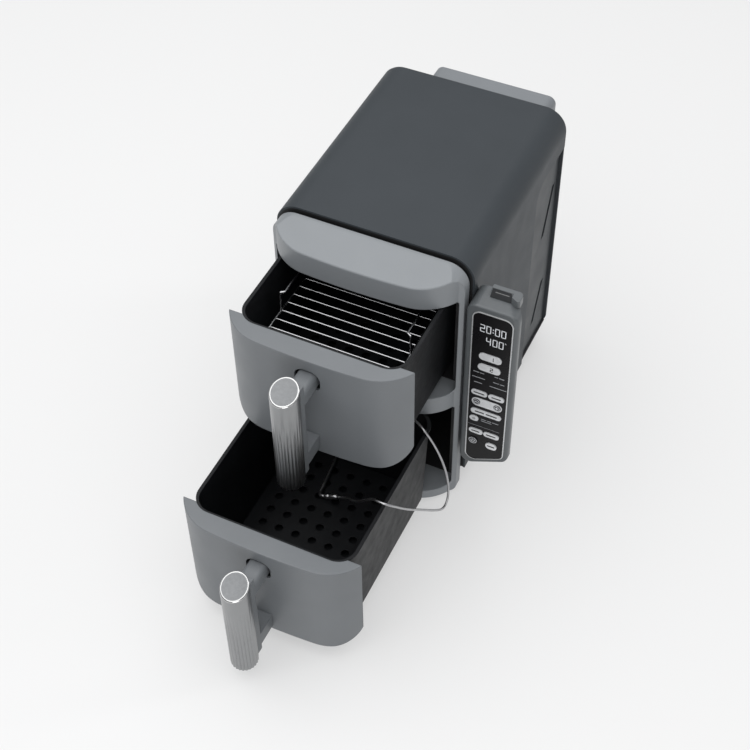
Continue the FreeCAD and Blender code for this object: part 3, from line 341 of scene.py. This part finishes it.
def bent(corners, radius, steps):
    """A path through corners, each rounded by an arc of the same radius."""
    path = [Vector(corners[0])]
    for before, corner, after in zip(corners, corners[1:], corners[2:]):
        into = (Vector(before) - Vector(corner)).normalized()
        out = (Vector(after) - Vector(corner)).normalized()
        half = into.angle(out) / 2
        centre = Vector(corner) + (into + out).normalized() * (radius / math.sin(half))
        first = Vector(corner) + into * (radius / math.tan(half)) - centre
        axis = into.cross(out).normalized()
        for i in range(steps + 1):
            turn = Matrix.Rotation(-(math.pi - 2 * half) * i / steps, 3, axis)
            path.append(centre + turn @ first)
    path.append(Vector(corners[-1]))
    return path


def swept(columns, closed):
    """Faces between neighbouring columns of a loop of points; open runs get end caps."""
    count, size = len(columns), len(columns[0])
    points = [point for column in columns for point in column]
    faces = []
    for i in range(count if closed else count - 1):
        a, b = i * size, (i + 1) % count * size
        for k in range(size):
            n = (k + 1) % size
            faces.append((a + k, b + k, b + n, a + n))
    if not closed:
        faces.append(tuple(range(size)))
        faces.append(tuple((count - 1) * size + k for k in range(size)))
    return points, faces


def block(front, back):
    """Points and faces of a closed solid between two outlines with equally many corners."""
    count = len(front)
    faces = [tuple(range(count)), tuple(range(2 * count - 1, count - 1, -1))]
    for k in range(count):
        n = (k + 1) % count
        faces.append((k, n, count + n, count + k))
    return front + back, faces


def merge(parts):
    """Points and faces of several meshes as one."""
    points, faces = [], []
    for more_points, more_faces in parts:
        base = len(points)
        points += more_points
        faces += [tuple(base + k for k in face) for face in more_faces]
    return points, faces


# ---------- the probe and its lead ----------

# The CAD's points for the lead: the jack, down past the pillar, and into the basket
LEAD_ROUTE = [
    at(72.2, -41.5, 181.2), at(84.0, -45.5, 178.7), at(99.2, -53.9, 175.8), at(108.0, -46.4, 147.3),
    at(116.0, -39.3, 112.0), at(122.5, -38.5, 82.0), at(127.0, -46.0, 62.0), at(128.0, -62.0, 57.0),
    at(124.5, -83.0, 78.0), at(120.0, -110.0, 110.0), at(117.0, -138.0, 143.0),
    at(113.6, -153.0, 162.0), at(110.0, -161.0, 172.5), at(105.0, -167.0, 179.5),
    at(97.5, -169.0, 182.0), at(90.5, -167.5, 180.0), at(84.0, -161.0, 171.0),
    at(73.0, -149.3, 151.5), at(53.0, -132.0, 115.0), at(30.0, -108.5, 75.5),
    at(17.2, -94.3, 56.4), at(4.0, -95.4, 52.0),
]
LEAD_RADIUS = 1.4 * MM
LEAD_END = LEAD_ROUTE[-1]
PROBE_BEND = at(-21.0, -97.5, 43.6)
PROBE_TIP = at(-28.9, -31.5, 42.6)
BEND_RADIUS = 5.0 * MM
BEND_STEPS = 12
PROBE_SIDES = 24
LEAD_SIDES = 16
LEAD_STEPS = 16
NEEDLE_RADIUS = 2.2
NEEDLE_START = 0.82
# Radii in millimetres, at shares of the straight part that they shape
GRIP_PROFILE = ((0, 1.9), (0.02, 2.9), (0.05, 3.2), (0.5, 3.2), (0.53, 2.9), (0.56, 2.9),
                (0.59, 3.2), (0.8, 3.1), (0.86, 2.6), (0.88, 2.0))
TIP_PROFILE = ((0.5, NEEDLE_RADIUS), (0.86, NEEDLE_RADIUS), (0.9, 2.0), (0.94, 1.5), (0.98, 0.8),
               (1.0, 0.3))


def profile_along(start, end, profile):
    """Places and radii of a turned shape between two points."""
    return [start.lerp(end, share) for share, _ in profile], [radius * MM for _, radius in profile]


def make_probe():
    """The bent probe: a crimped grip, and a needle with a round bend and a point."""
    path = bent([LEAD_END, PROBE_BEND, PROBE_TIP], BEND_RADIUS, BEND_STEPS)
    places, radii = profile_along(path[0], path[1], GRIP_PROFILE)
    points, faces = tube(places, radii, PROBE_SIDES)
    grip = piece("probe_grip", points, faces, [PROBE_STEEL], "lower_drawer")
    tip_places, tip_radii = profile_along(path[-2], path[-1], TIP_PROFILE)
    places = [path[0].lerp(path[1], NEEDLE_START), *path[1:-1]]
    radii = [NEEDLE_RADIUS * MM] * len(places)
    points, faces = tube(places + tip_places, radii + tip_radii, PROBE_SIDES)
    needle = piece("probe_needle", points, faces, [PROBE_STEEL], "lower_drawer")
    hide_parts("probe")
    return grip


def make_lead(probe):
    """The lead: a free cord from the jack on the pod to the probe in the lower drawer."""
    path = spline_points(LEAD_ROUTE, LEAD_STEPS)
    points, faces = tube(path, LEAD_RADIUS, LEAD_SIDES)
    lead = piece("probe_cord", points, faces, [PROBE_STEEL], None)
    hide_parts("probe_lead")
    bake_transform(lead)


make_lead(make_probe())


# ---------- handles ----------

# Floor level of each zone, and how far its drawer is pulled out
LEVELS = {"lower": 24.0, "upper": 196.0}
OPEN = {"lower": 244.0, "upper": 111.0}
HANDLE_REACH = 81.0
SLEEVE_FOOT = 1.5
SLEEVE_TOP = 144.5
SLEEVE_RADIUS = 16.0
SLEEVE_BORE = 14.8
# Where the flutes are sampled, as shares of the way down the sleeve
SLEEVE_DROPS = (0.0, 0.05, 0.12, 0.2, 0.3, 0.42, 0.55, 0.7, 0.85, 0.96, 0.99)
SLEEVE_CREASE = math.radians(35)
SLOT_HALF = 4.0
CAP_SLOPE = math.tan(math.radians(23.0))
FLUTES = 24
FLUTE_STEPS = 12
FLUTE_DEPTH = 0.95
FADE_START = 16.0
FADE_LENGTH = 60.0
FOOT_ROUND = ((0.15, 0.25), (1.05, 0.0))
# The cap's ring from its foot inwards: radius, and height above the sleeve's slanted top
CAP_RINGS = ((15.85, 0.0), (16.0, 0.12), (16.0, 0.55), (15.85, 0.95), (15.4, 1.35), (14.95, 1.56),
             (14.55, 1.6), (14.3, 1.45), (14.1, 1.4))
CAP_SIDES = 96
CAP_CREASE = math.radians(60)


def ease(value):
    """A smooth step from 0 to 1."""
    value = min(1.0, max(0.0, value))
    return value * value * (3.0 - 2.0 * value)


def handle_point(zone, radius, turn, z):
    """A point around a handle's upright axis."""
    return at(radius * math.cos(turn), -OPEN[zone] - HANDLE_REACH + radius * math.sin(turn), z)


def slanted(zone, radius, turn):
    """The height of the slanted plane where the sleeve ends and the cap sits."""
    return LEVELS[zone] + SLEEVE_TOP + radius * math.sin(turn) * CAP_SLOPE


def make_sleeve(zone):
    """A tube with a slot behind and a slanted top; round flutes fade in on the way down."""
    low = LEVELS[zone] + SLEEVE_FOOT
    seam = math.asin(SLOT_HALF / SLEEVE_RADIUS)
    samples = FLUTES * FLUTE_STEPS
    columns = []
    for i in range(samples + 1):
        turn = math.pi / 2 + seam + (2 * math.pi - 2 * seam) * i / samples
        groove = 1.0 - abs(math.sin(turn * FLUTES / 2))
        top = slanted(zone, SLEEVE_RADIUS, turn)
        column = []
        for drop in SLEEVE_DROPS:
            z = top + (low - top) * drop
            depth = FLUTE_DEPTH * ease((top - z - FADE_START) / FADE_LENGTH)
            column.append((SLEEVE_RADIUS - depth * groove, z))
        (round_in, round_up), (foot_in, foot_up) = FOOT_ROUND
        column.append((SLEEVE_RADIUS - FLUTE_DEPTH * groove - round_in, low + round_up))
        column.append((SLEEVE_RADIUS - foot_in, low + foot_up))
        column.append((SLEEVE_BORE, low))
        column.append((SLEEVE_BORE, slanted(zone, SLEEVE_BORE, turn)))
        columns.append([handle_point(zone, radius, turn, z) for radius, z in column])
    points, faces = swept(columns, False)
    sleeve = piece(zone + "_sleeve", points, faces, [HANDLE], zone + "_drawer")
    sleeve.data.set_sharp_from_angle(angle=SLEEVE_CREASE)
    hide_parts(zone + "_handle_sleeve")


def make_cap(zone):
    """The slanted cap: a bright rounded ring around a finely brushed face."""
    rings = []
    for radius, raised in CAP_RINGS:
        turns = [2 * math.pi * k / CAP_SIDES for k in range(CAP_SIDES)]
        rings.append([handle_point(zone, radius, turn, slanted(zone, radius, turn) + raised)
                      for turn in turns])
    points, faces = swept(rings, False)
    picks = [0] * (len(faces) - 2) + [1, 1]
    cap = piece(zone + "_cap", points, faces, [CAP_RING, CAP_FACE], zone + "_drawer",
                picks=picks)
    cap.data.set_sharp_from_angle(angle=CAP_CREASE)
    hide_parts(zone + "_handle_cap")


for zone in ZONES:
    make_sleeve(zone)
    make_cap(zone)


# ---------- rack ----------

RACK_Z = 298.0
RACK_HALF = 79.0
RACK_FRONT = -99.0
RACK_REAR = 91.0
PLATE_TOP = 212.0
END_INSET = 4.0
FRAME_TURN = 9.0
FRAME_WIRE = 1.45
CROSS_WIRE = 1.15
CROSS_COUNT = 14
LEG_WIRE = 1.25
LEG_INSET = 12.0
LOOP_WIRE = 1.35
LOOP_TURN = 2.0
LOOP_HEIGHT = 29.0
LOOP_LEAN = 5.0
LOOP_START = 45.0
LOOP_END = 137.0
LOOP_INSET = 3.0
WIRE_CREASE = math.radians(50)
FRAME_STEPS, LOOP_STEPS = 8, 6
THICK_SIDES, THIN_SIDES = 14, 12


def chrome_piece(name, parts, node):
    """A piece of the rack made of round wires, in place of its CAD node."""
    points, faces = merge(parts)
    item = piece(name, points, faces, [CHROME], "rack")
    item.data.set_sharp_from_angle(angle=WIRE_CREASE)
    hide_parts(node)


def make_rack():
    """Round wires: a frame with bent corners, cross wires and legs."""
    front, rear = RACK_FRONT + END_INSET, RACK_REAR - END_INSET
    middle = at(0, front, RACK_Z)
    corners = [(-RACK_HALF, front), (-RACK_HALF, rear), (RACK_HALF, rear), (RACK_HALF, front)]
    path = [middle] + [at(x, y, RACK_Z) for x, y in corners] + [middle]
    wires = [tube(bent(path, FRAME_TURN * MM, FRAME_STEPS), FRAME_WIRE * MM, THICK_SIDES)]
    for i in range(1, CROSS_COUNT - 1):
        y = front + (rear - front) * i / (CROSS_COUNT - 1)
        ends = [at(-RACK_HALF, y, RACK_Z), at(RACK_HALF, y, RACK_Z)]
        wires.append(tube(ends, CROSS_WIRE * MM, THIN_SIDES))
    for x in (-RACK_HALF, RACK_HALF):
        for y in (RACK_FRONT + LEG_INSET, RACK_REAR - LEG_INSET):
            leg = [at(x, y, PLATE_TOP), at(x, y, RACK_Z)]
            wires.append(tube(leg, LEG_WIRE * MM, THIN_SIDES))
    chrome_piece("rack_wires", wires, "wire_rack")


def make_rack_loops():
    """The raised loop on each side of the rack, leaning inwards."""
    top = RACK_Z + LOOP_HEIGHT
    start, end = RACK_FRONT + LOOP_START, RACK_FRONT + LOOP_END
    loops = []
    for side in (-1, 1):
        x, inner = side * RACK_HALF, side * (RACK_HALF - LOOP_LEAN)
        corners = [(x, start, RACK_Z), (x, start, top), (inner, start + LOOP_INSET, top),
                   (inner, end - LOOP_INSET, top), (x, end, top), (x, end, RACK_Z)]
        path = bent([at(*corner) for corner in corners], LOOP_TURN * MM, LOOP_STEPS)
        loops.append(tube(path, LOOP_WIRE * MM, THICK_SIDES))
    chrome_piece("rack_handles", loops, "rack_loops")


make_rack()
make_rack_loops()


# ---------- panel marks ----------

FACE_Y = -0.4
PANEL_X = 151.25
PANEL_TOP = 337.5
PRINT_PROUD = 0.12
PRINT_SUNK = 0.1
RING_STEPS = 40
SEGMENTS = {"0": "abcdef", "1": "bc", "2": "abged", "4": "fgbc"}
SEGMENT_THICK = 1.0
SEGMENT_GAP = 0.18
# The two lines of the display: lower edge, size of a digit, and each digit's left edge
TIME_Z, TIME_SIZE = 309.8, (5.6, 11.2)
TIME_DIGITS = (("2", 137.0), ("0", 144.2), ("0", 154.4), ("0", 161.6))
COLON_X, COLON_SIZE, COLON_LEVELS = 151.6, 1.3, (312.6, 317.0)
HEAT_Z, HEAT_SIZE = 292.0, (5.6, 11.0)
HEAT_DIGITS = (("4", 144.8), ("0", 152.4), ("0", 159.6))
DEGREE = (167.4, 302.0, 0.9, 0.35)
# Each label: left and right edge, level, and the widths of its words and of the gaps between them
LABELS = (
    (132.1, 145.2, 243.5, (7, 1, 5)), (130.8, 146.6, 234.8, (1,)), (133.5, 143.3, 226.4, (1,)),
    (157.6, 169.3, 244.3, (4, 1, 6)), (156.5, 169.8, 234.8, (6, 1, 5)), (152.7, 173.1, 226.7, (1,)),
    (145.0, 166.5, 165.6, (5, 1, 4, 1, 6)), (145.0, 158.0, 162.6, (1,)),
)
LABEL_HEIGHT = 0.9
PANEL_RULE = (129.2, 168.8, 151.8, 152.1)


def slab(x0, x1, z0, z1, y, proud=PRINT_PROUD):
    """A thin raised block on the panel."""
    corners = [(x0, z0), (x1, z0), (x1, z1), (x0, z1)]
    return block([at(x, y - proud, z) for x, z in corners],
                 [at(x, y + PRINT_SUNK, z) for x, z in corners])


def digit(symbol, x, z, width, height, y=FACE_Y, thick=SEGMENT_THICK):
    """A seven-segment digit with its lower left corner at x, z."""
    half = height / 2
    gap = thick * SEGMENT_GAP
    bars = {
        "a": (x + gap, x + width - gap, z + height - thick, z + height),
        "g": (x + gap, x + width - gap, z + half - thick / 2, z + half + thick / 2),
        "d": (x + gap, x + width - gap, z, z + thick),
        "f": (x, x + thick, z + half + gap, z + height - gap),
        "b": (x + width - thick, x + width, z + half + gap, z + height - gap),
        "e": (x, x + thick, z + gap, z + half - gap),
        "c": (x + width - thick, x + width, z + gap, z + half - gap),
    }
    return [slab(*bars[name], y) for name in SEGMENTS[symbol]]


def ring_mark(x, z, radius, thick, y, start=0.0, sweep=360.0):
    """A thin raised ring, or part of one."""
    closed = sweep >= 360.0
    columns = []
    for i in range(RING_STEPS if closed else RING_STEPS + 1):
        turn = math.radians(start + sweep * i / RING_STEPS)
        profile = [(radius, y - PRINT_PROUD), (radius, y + PRINT_SUNK),
                   (radius - thick, y + PRINT_SUNK), (radius - thick, y - PRINT_PROUD)]
        columns.append([at(x + r * math.cos(turn), v, z + r * math.sin(turn)) for r, v in profile])
    return swept(columns, closed)


def words(left, right, z, height, y, pattern):
    """A line of short blocks that stands where a label is printed."""
    total = sum(pattern)
    parts, x = [], left
    for i, share in enumerate(pattern):
        width = (right - left) * share / total
        if i % 2 == 0:
            parts.append(slab(x, x + width, z - height / 2, z + height / 2, y))
        x += width
    return parts


def make_marks():
    """The display's digits and the printed labels of the fascia."""
    digits, labels = [], []
    for symbol, x in TIME_DIGITS:
        digits += digit(symbol, x, TIME_Z, *TIME_SIZE)
    for z in COLON_LEVELS:
        digits.append(slab(COLON_X, COLON_X + COLON_SIZE, z, z + COLON_SIZE, FACE_Y))
    for symbol, x in HEAT_DIGITS:
        digits += digit(symbol, x, HEAT_Z, *HEAT_SIZE)
    digits.append(ring_mark(*DEGREE, FACE_Y))
    for left, right, z, pattern in LABELS:
        labels += words(left, right, z, LABEL_HEIGHT, FACE_Y, pattern)
    labels.append(slab(*PANEL_RULE, FACE_Y))
    for name, blocks, material in (("fascia_digits", digits, MARK), ("fascia_labels", labels, LABEL)):
        points, faces = merge(blocks)
        piece(name, points, faces, [material], "housing", smooth=False)


# Marks on the keys, placed from the middle and the top edge of the panel
KEY_FACE = -1.5
# The upright bar of the plus stands this proud, so that it doesn't lie in the plane of the other
CROSSED_PROUD = 0.16
KEY_MARKS = {
    "zone_one": digit("1", PANEL_X + 1.0, PANEL_TOP - 68.6, 3.2, 6.2, KEY_FACE, 0.9),
    "zone_two": digit("2", PANEL_X + 0.6, PANEL_TOP - 86.1, 3.6, 6.2, KEY_FACE, 0.9),
    "match": words(PANEL_X - 17.0, PANEL_X - 4.0, PANEL_TOP - 127.5, 1.7, KEY_FACE, (1,)),
    "sync": words(PANEL_X + 5.0, PANEL_X + 16.0, PANEL_TOP - 127.5, 1.7, KEY_FACE, (1,)),
    "preset": words(PANEL_X - 14.0, PANEL_X + 13.0, PANEL_TOP - 159.8, 1.7, KEY_FACE, (5, 1, 6)),
    "probe": [ring_mark(PANEL_X - 14.8, PANEL_TOP - 173.2, 1.6, 0.5, KEY_FACE)],
    "time": words(PANEL_X - 17.0, PANEL_X - 7.0, PANEL_TOP - 195.2, 1.7, KEY_FACE, (1,)),
    "heat": words(PANEL_X + 1.6, PANEL_X + 13.4, PANEL_TOP - 195.2, 1.7, KEY_FACE, (1,)),
    "start": words(PANEL_X + 4.0, PANEL_X + 12.8, PANEL_TOP - 214.2, 1.8, KEY_FACE, (1,)),
}
LIGHT_MARKS = {
    "minus": [slab(PANEL_X - 15.0, PANEL_X - 11.0, PANEL_TOP - 143.9, PANEL_TOP - 143.1, KEY_FACE),
              ring_mark(PANEL_X - 13.0, PANEL_TOP - 143.5, 3.6, 0.45, KEY_FACE)],
    "plus": [slab(PANEL_X + 10.2, PANEL_X + 14.2, PANEL_TOP - 143.9, PANEL_TOP - 143.1, KEY_FACE),
             slab(PANEL_X + 11.8, PANEL_X + 12.6, PANEL_TOP - 145.5, PANEL_TOP - 141.5, KEY_FACE,
                  CROSSED_PROUD),
             ring_mark(PANEL_X + 12.2, PANEL_TOP - 143.5, 3.6, 0.45, KEY_FACE)],
    "power": [ring_mark(PANEL_X - 14.6, PANEL_TOP - 213.2, 4.9, 0.5, KEY_FACE),
              ring_mark(PANEL_X - 14.6, PANEL_TOP - 213.2, 2.5, 0.6, KEY_FACE, 125, 290),
              slab(PANEL_X - 14.9, PANEL_X - 14.3, PANEL_TOP - 213.0, PANEL_TOP - 210.2, KEY_FACE)],
}


def make_key_marks():
    """The mark on each push button, which rides on its key."""
    for marks, material in ((KEY_MARKS, MARK_DARK), (LIGHT_MARKS, MARK)):
        for name, parts in marks.items():
            points, faces = merge(parts)
            piece(name + "_mark", points, faces, [material], name + "_key", smooth=False)


make_marks()
make_key_marks()


# ---------- probe store ----------

CASE_FOOT_Y, CASE_FOOT_Z = 17.9, 345.9
CASE_LEAN = 6.0 / 10.5
CASE_OUTLINE = ((139.3, 346.7), (163.6, 346.7), (163.6, 350.4), (161.6, 355.4), (140.2, 355.4))
CASE_PROUD, CASE_SUNK = 0.25, 0.2
LINE_OUTLINE = ((144.0, 351.9), (160.0, 351.9), (160.0, 352.7), (144.0, 352.7))
LINE_PROUD, LINE_SUNK = 0.5, -0.1


def on_case(x, z, forward):
    """A point in front of the store's leaning face."""
    return at(x, CASE_FOOT_Y + CASE_LEAN * (z - CASE_FOOT_Z) - forward, z)


def make_case_piece(name, outline, proud, sunk, material):
    """A thin solid let into the store's leaning face."""
    points, faces = block([on_case(x, z, proud) for x, z in outline],
                          [on_case(x, z, -sunk) for x, z in outline])
    piece(name, points, faces, [material], "probe_store", smooth=False)


def make_case_face():
    """The dark plate on the leaning front of the probe store, and the bright line in its groove."""
    make_case_piece("case_plate", CASE_OUTLINE, CASE_PROUD, CASE_SUNK, CASE_FACE)
    make_case_piece("case_line", LINE_OUTLINE, LINE_PROUD, LINE_SUNK, CAP_RING)


make_case_face()


# ---------- floor and light ----------

SKY_COLOR = (0.97, 0.985, 1.0, 1.0)
SKY_STRENGTH = 0.33
FLOOR_HALF = 8.0
FLOOR_COLOR = (0.37, 0.37, 0.37)
FLOOR_ROUGHNESS = 0.6
FLOOR_SPECULAR = 0.15
FLOOR_GLOW = 0.45
# Each lamp: name, place, target, width and height in metres, power in watts
LAMPS = (
    ("ceiling", (-0.5, -0.2, 2.4), (-0.3, 0.0, 0.0), (4.2, 4.2), 102),
    ("edge", (2.4, 1.6, 2.0), (0, 0.1, 0.3), (0.5, 2.4), 14),
    ("fill", (0.7, -2.6, 0.9), (0, 0, 0.2), (1.2, 0.8), 15),
)


def make_sky():
    """Even light from all round."""
    world = bpy.data.worlds.new("world")
    world.use_nodes = True
    sky = world.node_tree.nodes["Background"]
    sky.inputs["Color"].default_value = SKY_COLOR
    sky.inputs["Strength"].default_value = SKY_STRENGTH
    scene.world = world


def make_stage():
    """A floor that also glows, because the photograph's backdrop is brighter than lamps make it."""
    material = shade("floor", FLOOR_COLOR, FLOOR_ROUGHNESS, specular=FLOOR_SPECULAR)
    glow = material.node_tree.nodes["Principled BSDF"].inputs
    glow["Emission Color"].default_value = (1.0, 1.0, 1.0, 1.0)
    glow["Emission Strength"].default_value = FLOOR_GLOW
    data = bpy.data.meshes.new("floor")
    corners = [(-FLOOR_HALF, -FLOOR_HALF, 0), (FLOOR_HALF, -FLOOR_HALF, 0),
               (FLOOR_HALF, FLOOR_HALF, 0), (-FLOOR_HALF, FLOOR_HALF, 0)]
    data.from_pydata(corners, [], [(0, 1, 2, 3)])
    data.materials.append(material)
    floor = bpy.data.objects.new("floor", data)
    scene.collection.objects.link(floor)
    scene.view_settings.view_transform = "Standard"


def area_light(name, place, target, size, power):
    """A rectangular lamp that faces a target."""
    data = bpy.data.lights.new(name, "AREA")
    data.shape = "RECTANGLE"
    data.size, data.size_y = size
    data.energy = power
    light = bpy.data.objects.new(name, data)
    scene.collection.objects.link(light)
    light.location = place
    light.rotation_euler = (Vector(target) - Vector(place)).to_track_quat("-Z", "Y").to_euler()


make_sky()
make_stage()
for lamp in LAMPS:
    area_light(*lamp)
